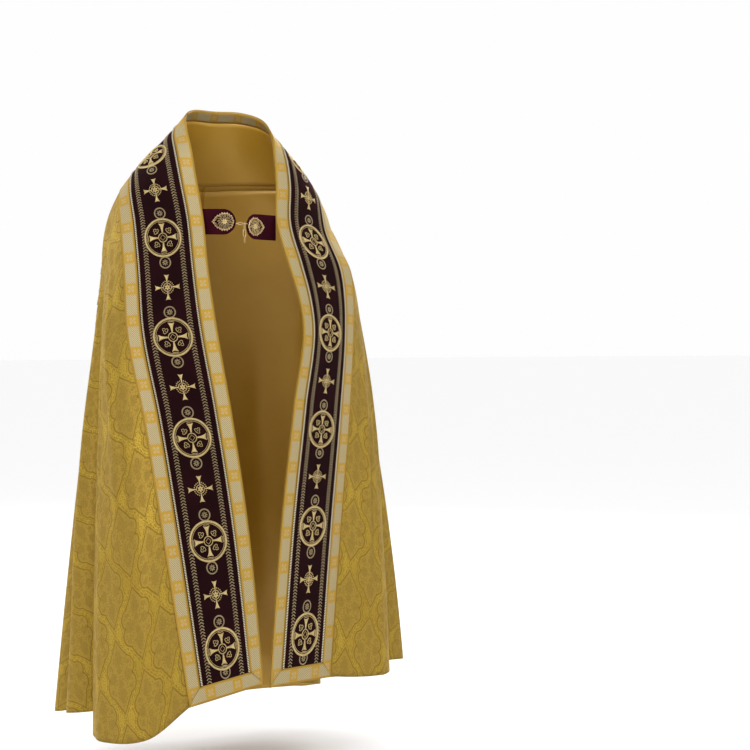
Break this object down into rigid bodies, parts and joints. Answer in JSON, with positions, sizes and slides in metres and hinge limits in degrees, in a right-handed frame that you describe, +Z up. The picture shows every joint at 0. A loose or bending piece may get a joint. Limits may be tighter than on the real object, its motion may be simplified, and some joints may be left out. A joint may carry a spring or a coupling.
{
  "type": "cope vestment",
  "caption": "Semicircular gold brocade cope worn open, with velvet orphreys between galloons, a fringed velvet hood on the back and a clasp with a hanging chain.",
  "frame": {"origin": "middle of the neck opening, level with where the collar crosses the shoulders, where the wearer carries the cope", "axes": "+Z up, -Y the way the wearer faces, +X to the wearer's left"},
  "size_m": [0.8161, 0.5851, 1.4081],
  "materials": {
    "brocade": "gold metallic damask, figured weave, satin lined",
    "velvet": "dark burgundy velvet with gold embroidery",
    "galloon": "woven pale gold braid",
    "lining": "golden orange satin",
    "fringe": "twisted gold bullion fringe",
    "gold_metal": "pale gold plated filigree"
  },
  "bodies": {
    "cope": {"mantle_right": "brocade", "mantle_left": "brocade", "orphrey_right": "velvet", "orphrey_left": "velvet", "hood_panel": "velvet", "clasp_tab_right": "velvet", "clasp_tab_left": "velvet", "galloon_front_right": "galloon", "galloon_front_left": "galloon", "galloon_outer_right": "galloon", "galloon_outer_left": "galloon", "galloon_foot_right": "galloon", "galloon_foot_left": "galloon", "galloon_back_seam": "galloon", "neck_facing": "galloon", "hood_galloon_frame": "galloon", "hood_galloon_edge": "galloon", "neck_lining": "lining", "hood_fringe": "fringe", "clasp_plate_right": "gold_metal", "clasp_plate_left": "gold_metal", "clasp_hook": "gold_metal", "clasp_eye": "gold_metal", "clasp_link": "gold_metal"},
    "link_1": {"chain_link_1": "gold_metal"},
    "link_2": {"chain_link_2": "gold_metal"},
    "link_3": {"chain_link_3": "gold_metal"}
  },
  "joints": [
    {"name": "link_1_swing", "type": "hinge", "parent": "cope", "child": "link_1", "pos_m": [-0.0182, -0.152, -0.204], "axis": [1, 0, 0], "range_deg": [-40, 40]},
    {"name": "link_2_swing", "type": "hinge", "parent": "link_1", "child": "link_2", "pos_m": [-0.0182, -0.152, -0.2183], "axis": [0, 1, 0], "range_deg": [-30, 30]},
    {"name": "link_3_swing", "type": "hinge", "parent": "link_2", "child": "link_3", "pos_m": [-0.0182, -0.152, -0.2326], "axis": [1, 0, 0], "range_deg": [-40, 40]}
  ]
}
